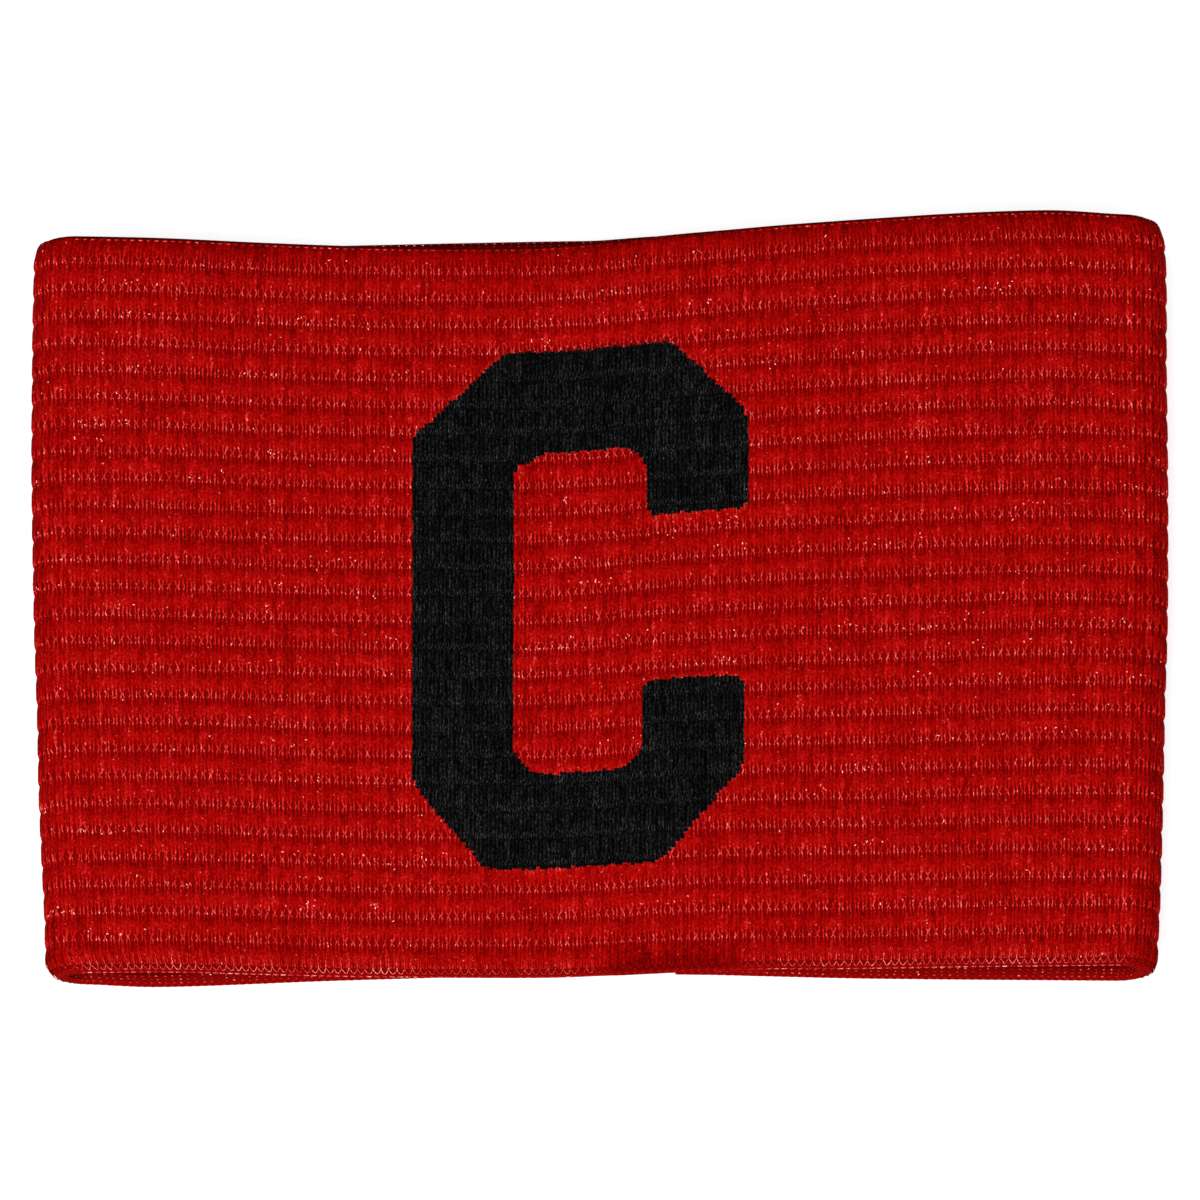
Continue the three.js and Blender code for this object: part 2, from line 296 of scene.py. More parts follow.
def pulledIn(s):
    lines = np.array(stitchLines + [stripLength - at for at in stitchLines])
    near = np.exp(-(((np.asarray(s)[..., None] - lines) / softness["stitchPullWidth"]) ** 2))
    return softness["stitchPull"] * near.sum(-1)


# 1 round the folds, 0 on the front and the back
def roundFold(s):
    return smooth((np.abs(alongPath("x", s)) - halfSpan) / softness["foldStart"])


# Painted shade on the yarn: where it is pressed in, round the folds and at their rims, and along the upper
# edge
def paintedShade(s, w):
    x = alongPath("x", s)
    left, right = softness["foldShade"]
    atFold = np.where(x < 0, left, right) * roundFold(s)
    atRim = softness["foldRimShade"] * np.abs(alongPath("outX", s)) ** 3
    fromTop = webbing["width"] - w
    farEdge = softness["farEdgeShade"] * (1 - grow(fromTop, *softness["farEdge"]))
    lastBit = softness["lastBitShade"] * (1 - grow(fromTop, *softness["lastBit"]))
    atPress = softness["pressedShade"] * alongPath("front", s) * pressed(x, w)
    return atFold + atRim + farEdge + lastBit + atPress


# Points at s along the strip, w up it and a depth under the edge ribs' crests, in metres
def onCloth(s, w, depth):
    s, w, depth = np.broadcast_arrays(s, w, depth)
    up = w / webbing["width"]
    outward = webbing["wall"] / 2 - depth
    beyond = s - np.clip(s, 0, stripLength)
    x = alongPath("x", s) + alongPath("outX", s) * outward + beyond
    drawnIn = 1 - np.where(x < 0, curve(foldReach, 1, up), curve(foldReach, 2, up))
    nearFold = (x / (webbing["flatLength"] / 2)) ** 2
    dent = webbing["dentDepth"] * alongPath("dent", s) * (1 - smooth(w / webbing["dentHeight"]))
    z = alongPath("z", s) + alongPath("outZ", s) * outward - dent - alongPath("front", s) * sunk(x, w)
    y = blend(alongPath("lower", s), alongPath("upper", s), up) + shiftY
    return np.stack([x * (1 - drawnIn * nearFold), y, z], -1) * mm


# Helpers for meshes and finishes


# Faces between neighbouring points of many small grids. keep says which gaps along each are filled.
def gridFaces(keep, across, first=0):
    grids, gaps = keep.shape
    start = first + np.arange(grids)[:, None, None] * (gaps + 1) * across
    start = start + np.arange(gaps)[None, :, None] * across + np.arange(across - 1)
    quads = np.stack([start, start + 1, start + across + 1, start + across], -1)
    return quads[keep].reshape(-1, 4)


def fullGrid(points):
    grids, rows, across = points.shape[:3]
    return gridFaces(np.ones((grids, rows - 1), bool), across)


# One object from points in metres and faces of one kind. tone is a tone for each point, the yarn's own
# colour together with painted highlight and shade, and chart its place in the piece's own flat map.
def makePiece(name, points, faces, finish, tone=0.5, chart=None):
    used, corners = np.unique(faces, return_inverse=True)
    sides = faces.shape[1]
    mesh = bpy.data.meshes.new(name)
    mesh.vertices.add(len(used))
    mesh.vertices.foreach_set("co", points.reshape(-1, 3)[used].ravel())
    mesh.loops.add(faces.size)
    mesh.loops.foreach_set("vertex_index", corners.ravel())
    mesh.polygons.add(len(faces))
    mesh.polygons.foreach_set("loop_start", np.arange(len(faces)) * sides)
    mesh.polygons.foreach_set("use_smooth", np.ones(len(faces), bool))
    shade = mesh.attributes.new("yarnTone", "FLOAT", "POINT")
    shades = np.broadcast_to(tone, points.shape[:-1]).reshape(-1)[used]
    shade.data.foreach_set("value", shades.astype(np.float32))
    if chart is not None:
        flat = chart.reshape(-1, 2)[used][corners.ravel()]
        mesh.uv_layers.new(name="OFBake").data.foreach_set("uv", flat.astype(np.float32).ravel())
    mesh.update(calc_edges=True)
    mesh.validate()
    mesh.materials.append(finish)
    piece = bpy.data.objects.new(name, mesh)
    bpy.context.scene.collection.objects.link(piece)
    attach(piece, "root")
    triangles = len(faces) * (sides - 2)
    print(f"{name}: {triangles} triangles")
    return piece


def linear(hexColour):
    parts = [int(hexColour[i : i + 2], 16) / 255 for i in (1, 3, 5)]
    return tuple(c / 12.92 if c <= 0.04045 else ((c + 0.055) / 1.055) ** 2.4 for c in parts) + (1.0,)


def newMaterial(name):
    material = bpy.data.materials.new(name)
    material.use_nodes = True
    material.node_tree.nodes.clear()
    return material, material.node_tree


# One node with its settings, its input values and its links
def addNode(tree, kind, settings=None, values=None, links=None):
    node = tree.nodes.new(kind)
    for key, value in (settings or {}).items():
        setattr(node, key, value)
    for key, value in (values or {}).items():
        node.inputs[key].default_value = value
    for key, source in (links or {}).items():
        tree.links.new(source, node.inputs[key])
    return node


def setStops(ramp, stops):
    while len(ramp.color_ramp.elements) < len(stops):
        ramp.color_ramp.elements.new(0.5)
    for element, (place, colour) in zip(ramp.color_ramp.elements, stops):
        element.position = place
        element.color = linear(colour)


# The last three nodes of the webbing's finishes. look is a dictionary of its numbers.
def endFinish(tree, look, colour, relief):
    bump = addNode(
        tree,
        "ShaderNodeBump",
        values={"Strength": look["bump"], "Distance": look["bumpHeight"] * mm},
        links={"Height": relief},
    )
    shader = addNode(
        tree,
        "ShaderNodeBsdfPrincipled",
        values={"Roughness": look["roughness"], "IOR": look["ior"], "Specular IOR Level": look["specular"]},
        links={"Base Color": colour, "Normal": bump.outputs["Normal"]},
    )
    addNode(tree, "ShaderNodeOutputMaterial", links={"Surface": shader.outputs["BSDF"]})


# Finishes

# Textured polyester yarn, floated over the ribs. Each strand is a bundle of curled filaments, so the eye
# gets fine lines along it.
# Its sheen is painted into its colour as a painted highlight rather than gloss, and here and there it gets
# a painted glint.
yarnLook = {
    "filament": 0.09,  # their spacing, drawn coarser than the real 0.02 so that it shows
    "filamentRun": 0.15,  # how long one filament shows before it turns under
    "filamentNoise": 0.5,  # waves of noise to one filament
    "patch": 3.5,  # size of the slow changes in dye
    "patchTone": 0.1,
    "glint": 0.13,  # a painted glint, drawn coarser too
    "glintRun": 0.2,
    "glintNoise": 0.6,
    "glintShare": 0.7,
    "glintOnRidge": 0.3,  # more of them where the tone holds a painted highlight
    "glintShift": (3.0, 7.0, 1.0),  # so that they don't follow the filaments
    "glintRim": 0.09,  # how softly one begins
    "glintStrength": 0.75,
    "bump": 0.5,
    "bumpHeight": 0.05,
    "roughness": 0.5,
    "ior": 1.57,
    "specular": 0.001,  # the curl of the filaments scatters much of it, and the rest of the sheen is painted into the colour
}


# Noise drawn out along the yarn. kind is filament or glint, the painted glints.
def yarnNoise(tree, place, kind, detail, shift=(0.0, 0.0, 0.0)):
    across, run = 1 / (yarnLook[kind] * mm), 1 / (yarnLook[kind + "Run"] * mm)
    stretch = addNode(
        tree,
        "ShaderNodeMapping",
        values={"Scale": (across, run, across), "Location": shift},
        links={"Vector": place.outputs["Object"]},
    )
    return addNode(
        tree,
        "ShaderNodeTexNoise",
        values={"Scale": yarnLook[kind + "Noise"], "Detail": detail},
        links={"Vector": stretch.outputs["Vector"]},
    )


# stops are the colours from a strand's painted shade through its own colour to its palest painted
# highlight, glintColour is the colour of the painted glints, and filamentTone is how strongly the filaments
# show
def yarnMaterial(name, stops, glintColour, filamentTone):
    material, tree = newMaterial(name)
    place = addNode(tree, "ShaderNodeTexCoord")
    tone = addNode(tree, "ShaderNodeAttribute", {"attribute_name": "yarnTone"})
    filament = yarnNoise(tree, place, "filament", 2.0)
    patch = addNode(
        tree,
        "ShaderNodeTexNoise",
        values={"Scale": 1 / (yarnLook["patch"] * mm), "Detail": 1.0},
        links={"Vector": place.outputs["Object"]},
    )
    centred = addNode(
        tree,
        "ShaderNodeMath",
        {"operation": "MULTIPLY_ADD"},
        {1: filamentTone, 2: -filamentTone / 2},
        {0: filament.outputs["Fac"]},
    )
    withFilament = addNode(
        tree, "ShaderNodeMath", {"operation": "ADD"}, links={0: tone.outputs["Fac"], 1: centred.outputs[0]}
    )
    patched = addNode(
        tree,
        "ShaderNodeMath",
        {"operation": "MULTIPLY_ADD"},
        {1: yarnLook["patchTone"]},
        {0: patch.outputs["Fac"], 2: withFilament.outputs[0]},
    )
    dye = addNode(tree, "ShaderNodeValToRGB", links={"Fac": patched.outputs[0]})
    setStops(dye, stops)
    glintNoise = yarnNoise(tree, place, "glint", 1.0, yarnLook["glintShift"])
    glintChance = addNode(
        tree,
        "ShaderNodeMath",
        {"operation": "MULTIPLY_ADD"},
        {1: yarnLook["glintOnRidge"]},
        {0: tone.outputs["Fac"], 2: glintNoise.outputs["Fac"]},
    )
    rarest = yarnLook["glintShare"] + yarnLook["glintOnRidge"] / 2
    glint = addNode(
        tree,
        "ShaderNodeMapRange",
        values={1: rarest, 2: rarest + yarnLook["glintRim"], 3: 0.0, 4: yarnLook["glintStrength"]},
        links={0: glintChance.outputs[0]},
    )
    colour = addNode(
        tree,
        "ShaderNodeMix",
        {"data_type": "RGBA"},
        {7: linear(glintColour)},
        {0: glint.outputs[0], 6: dye.outputs["Color"]},
    )
    endFinish(tree, yarnLook, colour.outputs[2], filament.outputs["Fac"])
    return material


redYarn = yarnMaterial(
    "textured polyester yarn, red",
    [
        (0.0, "#200000"),
        (0.25, "#600101"),
        (0.45, "#820403"),
        (0.62, "#9c0b09"),
        (0.8, "#bc3430"),
        (0.9, "#d8665e"),
        (1.0, "#f6b2aa"),
    ],
    "#ee807a",
    0.8,
)
blackYarn = yarnMaterial(
    "textured polyester yarn, black",
    [
        (0.0, "#000000"),
        (0.35, "#020202"),
        (0.5, "#050505"),
        (0.65, "#0e0e0e"),
        (0.8, "#202020"),
        (1.0, "#424242"),
    ],
    "#303030",
    1.0,
)


# The ground of the webbing: rubber threads covered in red yarn, woven close. It shows between the strands
# and on the inside, as dark red with rows of small raised dots; further in on the inside and along the top
# of the upper edge it takes a darker red as painted shade.
groundLook = {
    "dotPitch": 0.85,  # along the strip
    "dotRow": 0.38,  # and up it
    "dotEdge": (-0.2, 0.8),  # a dot's foot and its full height on the wave of -1 to 1
    "bump": 0.6,
    "bumpHeight": 0.12,
    "roughness": 0.75,
    "grain": 0.25,
    "ior": 1.52,
    "specular": 0.001,
}


def groundMaterial(name, deep, raised, inside):
    material, tree = newMaterial(name)
    place = addNode(tree, "ShaderNodeTexCoord")
    sines = []
    for attribute, spacing in (("alongStrip", groundLook["dotPitch"]), ("upStrip", groundLook["dotRow"])):
        distance = addNode(tree, "ShaderNodeAttribute", {"attribute_name": attribute})
        turns = addNode(
            tree,
            "ShaderNodeMath",
            {"operation": "MULTIPLY"},
            {1: 2 * math.pi / spacing},
            {0: distance.outputs["Fac"]},
        )
        sines.append(addNode(tree, "ShaderNodeMath", {"operation": "SINE"}, links={0: turns.outputs[0]}))
    both = addNode(
        tree,
        "ShaderNodeMath",
        {"operation": "MULTIPLY"},
        links={i: sine.outputs[0] for i, sine in enumerate(sines)},
    )
    foot, full = groundLook["dotEdge"]
    dots = addNode(
        tree,
        "ShaderNodeMapRange",
        {"interpolation_type": "SMOOTHSTEP"},
        {1: foot, 2: full, 3: 0.0, 4: 1.0},
        {0: both.outputs[0]},
    )
    grain = addNode(
        tree,
        "ShaderNodeTexNoise",
        values={"Scale": 1 / (groundLook["grain"] * mm), "Detail": 2.0},
        links={"Vector": place.outputs["Object"]},
    )
    mixed = addNode(
        tree,
        "ShaderNodeMath",
        {"operation": "MULTIPLY"},
        links={0: dots.outputs[0], 1: grain.outputs["Fac"]},
    )
    woven = addNode(
        tree,
        "ShaderNodeMix",
        {"data_type": "RGBA"},
        {6: linear(deep), 7: linear(raised)},
        {0: mixed.outputs[0]},
    )
    # within says where the inside colour lies, which is painted shade
    within = addNode(tree, "ShaderNodeAttribute", {"attribute_name": "within"})
    colour = addNode(
        tree,
        "ShaderNodeMix",
        {"data_type": "RGBA"},
        {7: linear(inside)},
        {0: within.outputs["Fac"], 6: woven.outputs[2]},
    )
    endFinish(tree, groundLook, colour.outputs[2], dots.outputs[0])
    return material


# The last colour of the red ground is its painted shade on the inside and along the top of the upper edge.
redGround = groundMaterial("covered rubber ground weave, red", "#6a0303", "#9a0a08", "#3c0101")
blackGround = groundMaterial("covered rubber ground weave, black", "#050505", "#101010", "#050505")
print("finishes made")


# The yarn of the ribs

yarn = {
    "columnPitch": 0.858,
    "lowEnd": 0.75,  # the strands end this far from the lower edge
    "highEnd": 0.34,  # and this far from the upper one
    "columnWander": 0.08,
    "columnWaves": (25, 70),
    "ribWander": 0.04,
    "ribWaves": (18, 60),
    "calmEdge": 4.0,  # the ribs wander less and less from here to the edge
    "pinch": (1.1, 0.5),  # mean and spread, from float to float
    "pinchRange": (0.1, 2.2),
    "pinchPlace": (0.15, 0.1),  # share of the rib, and how far it reaches
    "evenSpread": 0.25,  # where the strands lie side by side
    "lean": 0.05,
    "toneSpread": 0.03,  # from float to float
    "columnToneSpread": 0.0075,
    "rowTone": 0.045,  # and along a float
    "evenEdge": 0.7,  # on the last rib the strands look even
    "evenStart": 2.0,
    "crossing": 0.06,  # at the pinch one strand passes over the other
    "jitter": 0.012,
    "lastStep": 0.2,  # no row lies nearer to a strand's end
    "mapStripe": 0.45,  # half a strand's stripe in the flat map, as a share of its room
    "mapEdge": 0.002,
    # share of the rib from its lower side, height, spread from the column's middle as a share of the pitch,
    # half width and thickness in mm, and the tone of the strand's ridge and of its sides: the yarn's own
    # red with a painted highlight on the ridge, brightest by the groove, and painted shade on the sides and
    # towards the rib's top
    "rib": [
        (0.0, 0.0, 0.2, 0.135, 0.2, 0.52, 0.24),
        (0.045, 0.42, 0.22, 0.12, 0.2, 0.73, 0.28),
        (0.1, 0.72, 0.15, 0.12, 0.2, 0.66, 0.32),
        (0.16, 0.86, 0.11, 0.12, 0.2, 0.63, 0.35),
        (0.23, 0.94, 0.18, 0.135, 0.18, 0.59, 0.36),
        (0.32, 1.0, 0.25, 0.19, 0.12, 0.48, 0.38),
        (0.45, 1.0, 0.25, 0.235, 0.05, 0.425, 0.395),
        (0.65, 0.92, 0.245, 0.235, 0.05, 0.395, 0.37),
        (0.85, 0.62, 0.222, 0.222, 0.08, 0.365, 0.27),
        (1.0, 0.1, 0.2, 0.16, 0.16, 0.35, 0.2),
    ],
    "frontSteps": (0.0, 0.045, 0.1, 0.16, 0.23, 0.32, 0.6, 0.85),
    "backSteps": (0.0, 0.06, 0.18, 0.34, 0.75),
    "section": [(-1.0, 1.0), (-0.32, 0.05), (0.32, 0.05), (1.0, 1.0)],  # across, share of thickness down
}

ribPitch = (webbing["width"] - 2 * webbing["edgeRib"]) / (webbing["ribCount"] - 2)
ribHeights = np.array([webbing["edgeRib"]] + [ribPitch] * (webbing["ribCount"] - 2) + [webbing["edgeRib"]])
ribStarts = np.concatenate([[0], np.cumsum(ribHeights)])
columnCount = round(stripLength / yarn["columnPitch"])
pitch = stripLength / columnCount
columnPlaces = (np.arange(columnCount) + 0.5) * pitch

letterShape = {
    "height": 56.6,
    "width": 35.5,
    "place": -2.15,
    "stem": 10.62,
    "topBar": 11.2,
    "lowBar": 10.4,
    "arm": 10.5,
    "topArm": 18.8,
    "lowArm": 19.8,
    "lowIn": 0.38,  # the lower arm stands this much further left
    "ribDepth": 0.2,
    "proud": 0.05,
    "cornerCut": 0.6,
    "ragged": 0.1,  # the yarn changes colour a little early or late
    "pinch": 0.7,  # the black yarn is packed closer, so it pinches less
    "halfWidth": (0.22, 0.16),  # on the rib, and at the pinch
    "thickness": 0.1,
    # The black yarn's sides are drawn paler than its ridge, as painted sheen.
    "ridgeTone": 0.4,
    "sideTone": (0.68, 0.84),  # the same
    "jitter": 0.055,
    # shares of the stem's or arm's width and of the bar's height
    "cuts": {
        "topLeft": (0.93, 0.82),
        "topRight": (0.75, 0.73),
        "lowRight": (0.84, 0.94),
        "lowLeft": (0.72, 0.89),
        "innerTopLeft": (0.32, 0.15),
        "innerTopRight": (0.18, 0.16),
        "innerLowRight": (0.21, 0.19),
        "innerLowLeft": (0.2, 0.22),
    },
}


# The letter's outline, x from the loop's middle and w up the band
def letterOutline():
    size, cuts = letterShape, letterShape["cuts"]

    def cut(name, width, height):
        return cuts[name][0] * width, cuts[name][1] * height

    wide, high, stem, arm = size["width"], size["height"], size["stem"], size["arm"]
    low, top = size["lowBar"], size["topBar"]
    lowLeft, lowRight = cut("lowLeft", stem, low), cut("lowRight", arm, low)
    topLeft, topRight = cut("topLeft", stem, top), cut("topRight", arm, top)
    inLowLeft, inLowRight = cut("innerLowLeft", stem, low), cut("innerLowRight", arm, low)
    inTopLeft, inTopRight = cut("innerTopLeft", stem, top), cut("innerTopRight", arm, top)
    right, counterTop = wide - arm, high - top
    lowWide, lowInner = wide - size["lowIn"], right - size["lowIn"]
    corners = [
        (lowLeft[0], 0),
        (lowWide - lowRight[0], 0),
        (lowWide, lowRight[1]),
        (lowWide, size["lowArm"]),
        (lowInner, size["lowArm"]),
        (lowInner, low + inLowRight[1]),
        (lowInner - inLowRight[0], low),
        (stem + inLowLeft[0], low),
        (stem, low + inLowLeft[1]),
        (stem, counterTop - inTopLeft[1]),
        (stem + inTopLeft[0], counterTop),
        (right - inTopRight[0], counterTop),
        (right, counterTop - inTopRight[1]),
        (right, high - size["topArm"]),
        (wide, high - size["topArm"]),
        (wide, high - topRight[1]),
        (wide - topRight[0], high),
        (topLeft[0], high),
        (0, high - topLeft[1]),
        (0, lowLeft[1]),
    ]
    at = np.array(corners, float) + [size["place"] - wide / 2, (webbing["width"] - high) / 2]
    before, after = (np.roll(at, turn, axis=0) - at for turn in (1, -1))
    cutBefore = at + before / np.linalg.norm(before, axis=1, keepdims=True) * size["cornerCut"]
    cutAfter = at + after / np.linalg.norm(after, axis=1, keepdims=True) * size["cornerCut"]
    return np.stack([cutBefore, cutAfter], 1).reshape(-1, 2)


# Heights at which a line up the band at x enters and leaves the letter
def letterCrossings(x, outline):
    found = []
    for (x0, w0), (x1, w1) in zip(outline, np.roll(outline, -1, axis=0)):
        if (x0 <= x) != (x1 <= x):
            found.append(w0 + (w1 - w0) * (x - x0) / (x1 - x0))
    return sorted(found)


# Each place along the strip that meets the letter, with the heights where the letter begins and ends
def letterMeetings(places):
    outline = letterOutline()
    x = alongPath("x", places)
    within = (x > outline[:, 0].min()) & (x < outline[:, 0].max())
    for i in np.flatnonzero(within & (alongPath("front", places) > 0.5)):
        yield i, letterCrossings(x[i], outline)


# The same shares of every rib, as heights up the band
def ribRows(shares):
    return (ribStarts[:-1, None] + np.array(shares) * ribHeights[:, None]).ravel()


# The rib at a height, and the share of it that lies below
def ribAt(w):
    rib = np.clip(np.searchsorted(ribStarts, w, side="right") - 1, 0, webbing["ribCount"] - 1)
    return rib, (w - ribStarts[rib]) / ribHeights[rib]


# Depth of the yarn's top under the edge ribs' crests
def ribTop(s, w, inLetter=False):
    rib, share = ribAt(w)
    atEdge = (rib == 0) | (rib == webbing["ribCount"] - 1)
    crest = np.where(atEdge, 0, webbing["edgeProud"])
    height = curve(yarn["rib"], 1, share)
    relief = 1 - (1 - softness["foldRelief"]) * roundFold(s)
    red = crest + (webbing["grooveDepth"] - crest) * relief * (1 - height)
    black = crest - letterShape["proud"] + letterShape["ribDepth"] * (1 - height)
    return np.where(inLetter, black, red)


# The heights of all rows up one strand
def strandRows(steps):
    w = ribRows(steps)
    low, high = yarn["lowEnd"], webbing["width"] - yarn["highEnd"]
    kept = (w > low + yarn["lastStep"]) & (w < high - yarn["lastStep"])
    return np.concatenate([[low], w[kept], [high]])


floatPinch = luck.normal(*yarn["pinch"], (columnCount, webbing["ribCount"])).clip(*yarn["pinchRange"])
floatLean = luck.normal(0, yarn["lean"], (columnCount, webbing["ribCount"]))
floatTone = luck.normal(0, yarn["toneSpread"], (columnCount * 2, webbing["ribCount"]))
columnTone = luck.normal(0, yarn["columnToneSpread"], columnCount)
crossingSide = luck.choice([-1, 1], (columnCount, webbing["ribCount"]))
wanderSeed = luck.integers(1 << 30, size=2)


# The same slow waves for all the pieces
def wander(which, s, w, shortest, longest):
    return waves(np.random.default_rng(wanderSeed[which]), s, w, shortest, longest)


# The two strands of each chosen column, as points, shades, flat map and which gaps are in the letter
def layStrands(columns, steps):
    rows = strandRows(steps)
    strands = np.repeat(columns, 2)
    side = np.tile([-1.0, 1.0], len(columns))[:, None]
    middle = columnPlaces[strands][:, None]
    w = np.tile(rows, (len(strands), 1))
    inLetter = np.zeros((len(strands), len(rows) - 1), bool)
    for i, crossings in letterMeetings((middle + side * yarn["evenSpread"] * pitch)[:, 0]):
        for j, at in enumerate(crossings):
            at += luck.normal(0, letterShape["ragged"])
            row = int(np.abs(rows - at).argmin())
            w[i, row] = at
            inLetter[i, row:] = j % 2 == 0
    rib, share = ribAt(w)
    black = np.pad(inLetter, ((0, 0), (1, 0))) | np.pad(inLetter, ((0, 0), (0, 1)))
    pinch = floatPinch[strands[:, None], rib] * np.where(black, letterShape["pinch"], 1)
    spread = blend(yarn["evenSpread"], curve(yarn["rib"], 2, share), pinch)
    pinchPlace, pinchReach = yarn["pinchPlace"]
    atPinch = np.exp(-(((share - pinchPlace) / pinchReach) ** 2))
    halfWidth = np.where(black, blend(*letterShape["halfWidth"], atPinch), curve(yarn["rib"], 3, share))
    thickness = np.where(black, letterShape["thickness"], curve(yarn["rib"], 4, share))
    ridge = np.where(black, letterShape["ridgeTone"], curve(yarn["rib"], 5, share))
    flank = np.where(black, blend(*letterShape["sideTone"], atPinch), curve(yarn["rib"], 6, share))
    tone = floatTone[np.arange(len(strands))[:, None] + 2 * columns[0], rib] + columnTone[strands][:, None]
    crossed = atPinch * yarn["crossing"] * side * crossingSide[strands[:, None], rib] / 2
    lean = floatLean[strands[:, None], rib] * atPinch * ~black
    jitter = luck.normal(0, 1, w.shape) * np.where(black, letterShape["jitter"], yarn["jitter"])
    sideways = yarn["columnWander"] * wander(0, middle, w, *yarn["columnWaves"])
    s = middle + (side * spread + lean) * pitch + sideways + jitter
    depth = ribTop(s, w, black) - crossed + pulledIn(s)
    calm = smooth(w / yarn["calmEdge"]) * smooth((webbing["width"] - w) / yarn["calmEdge"])
    w = w + yarn["ribWander"] * wander(1, middle, w, *yarn["ribWaves"]) * calm
    across, down = np.array(yarn["section"]).T
    sideAt, depthAt = across * halfWidth[..., None], down * thickness[..., None]
    points = onCloth(s[..., None] + sideAt, w[..., None], depth[..., None] + depthAt)
    # in the flat map each strand is an upright stripe
    number = np.arange(len(strands))[:, None, None]
    mapAcross = (number + 0.5 + across * yarn["mapStripe"]) / len(strands)
    mapUp = blend(yarn["mapEdge"], 1 - yarn["mapEdge"], w[..., None] / webbing["width"])
    chart = np.stack(np.broadcast_arrays(mapAcross, mapUp), -1)
    tone = tone - paintedShade(middle, w) * ~black + luck.normal(0, yarn["rowTone"], w.shape)
    flat = alongPath("front", middle) * pressed(alongPath("x", middle), w)
    flat = np.maximum(flat, yarn["evenEdge"] * smooth((w - ribStarts[-2]) / yarn["evenStart"]))
    # Where the yarn is pressed flat and on the last rib the sides take the ridge's tone; elsewhere the
    # ridge points carry a painted highlight and the side points painted shade.
    flank = blend(flank, ridge, flat)
    tones = tone[..., None] + blend(ridge[..., None], flank[..., None], down)
    return points, tones, chart, inLetter


isFront = alongPath("front", columnPlaces) > 0.5
firstFront = int(np.flatnonzero(isFront)[0])
lastFront = int(np.flatnonzero(isFront)[-1])
middleFront = int(np.argmin(np.where(isFront, np.abs(alongPath("x", columnPlaces)), np.inf)))
runs = {
    "yarnBackRight": (0, firstFront, "backSteps"),
    "yarnFrontRight": (firstFront, middleFront, "frontSteps"),
    "yarnFrontLeft": (middleFront, lastFront + 1, "frontSteps"),
    "yarnBackLeft": (lastFront + 1, columnCount, "backSteps"),
}
letterYarn = []


def addRedYarn(name, points, faces, tones, chart=None):
    makePiece(name, points, faces, redYarn, tones, chart)


for name, (first, last, steps) in runs.items():
    points, tones, chart, inLetter = layStrands(np.arange(first, last), yarn[steps])
    addRedYarn(name, points, gridFaces(~inLetter, points.shape[2]), tones, chart)
    if inLetter.any():
        letterYarn.append((points, tones, chart, inLetter))

total = sum(len(run[0]) for run in letterYarn)
blackPoints, blackTones, blackCharts, blackFaces = [], [], [], []
first, firstStrand = 0, 0
for points, tones, chart, inLetter in letterYarn:
    blackPoints.append(points.reshape(-1, 3))
    blackTones.append(tones.ravel())
    shifted = chart.copy()
    shifted[..., 0] = (chart[..., 0] * len(points) + firstStrand) / total
    blackCharts.append(shifted.reshape(-1, 2))
    blackFaces.append(gridFaces(inLetter, points.shape[2], first))
    first += points.size // 3
    firstStrand += len(points)
makePiece(
    "letterYarn",
    np.concatenate(blackPoints),
    np.concatenate(blackFaces),
    blackYarn,
    np.concatenate(blackTones),
    np.concatenate(blackCharts),
)
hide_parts("letter")


blackBands = {
    "halfWidth": 0.26,  # as a share of the pitch
    "shorter": 0.1,  # than the yarn at either end
    "step": 0.45,
    "underYarn": 0.13,
}


# Under the black yarn the ground threads are black too: one narrow band for each strand
def layLetterGround():
    sides = np.array([-1, 1]) * pitch
    places = (columnPlaces[:, None] + sides * yarn["evenSpread"]).ravel()
    runs = []
    for i, crossings in letterMeetings(places):
        for low, high in zip(crossings[::2], crossings[1::2]):
            rows = int((high - low) / blackBands["step"]) + 2
            w = np.linspace(low + blackBands["shorter"], high - blackBands["shorter"], rows)[:, None]
            s = places[i] + sides * blackBands["halfWidth"]
            runs.append(onCloth(s, w, ribTop(s, w, True) + blackBands["underYarn"]).reshape(-1, 3))
    first, faces = 0, []
    for run in runs:
        faces.append(gridFaces(np.ones((1, len(run) // 2 - 1), bool), 2, first))
        first += len(run)
    return np.concatenate(runs), np.concatenate(faces)


groundYarnPoints, groundYarnFaces = layLetterGround()
makePiece(
    "letterGround", groundYarnPoints, groundYarnFaces, blackGround
)
print("ribs dressed with yarn")


# The ground cloth

ground = {
    "step": 0.9,  # along the strip
    "ribShares": (0.0, 0.12, 0.35, 0.75),
    "underYarn": 0.3,
    "underGroove": 0.16,
    "edgeRound": 0.04,
    "edgeDepths": (0.8, 1.5),  # the edge is flat between these
    "lowestRow": (0.12, 0.42),  # height and depth, so that the edge loops lie on cloth
    "nextRow": 0.3,  # the ribs' rows start above this
    "innerStep": 3.2,
    "innerRows": (0.35, 1.0, 1.5),  # the first ones from either edge
    "shadeEdge": (1.0, 1.4),  # further in than this the inside gets painted shade, a darker red
    "darkTop": 0.36,  # and so does the last bit of the upper edge
    "sharpAngle": 60,
}


# 1 on the inside away from the edges, where the inside gets painted shade
def furtherIn(w):
    return grow(np.minimum(w, webbing["width"] - w), *ground["shadeEdge"])


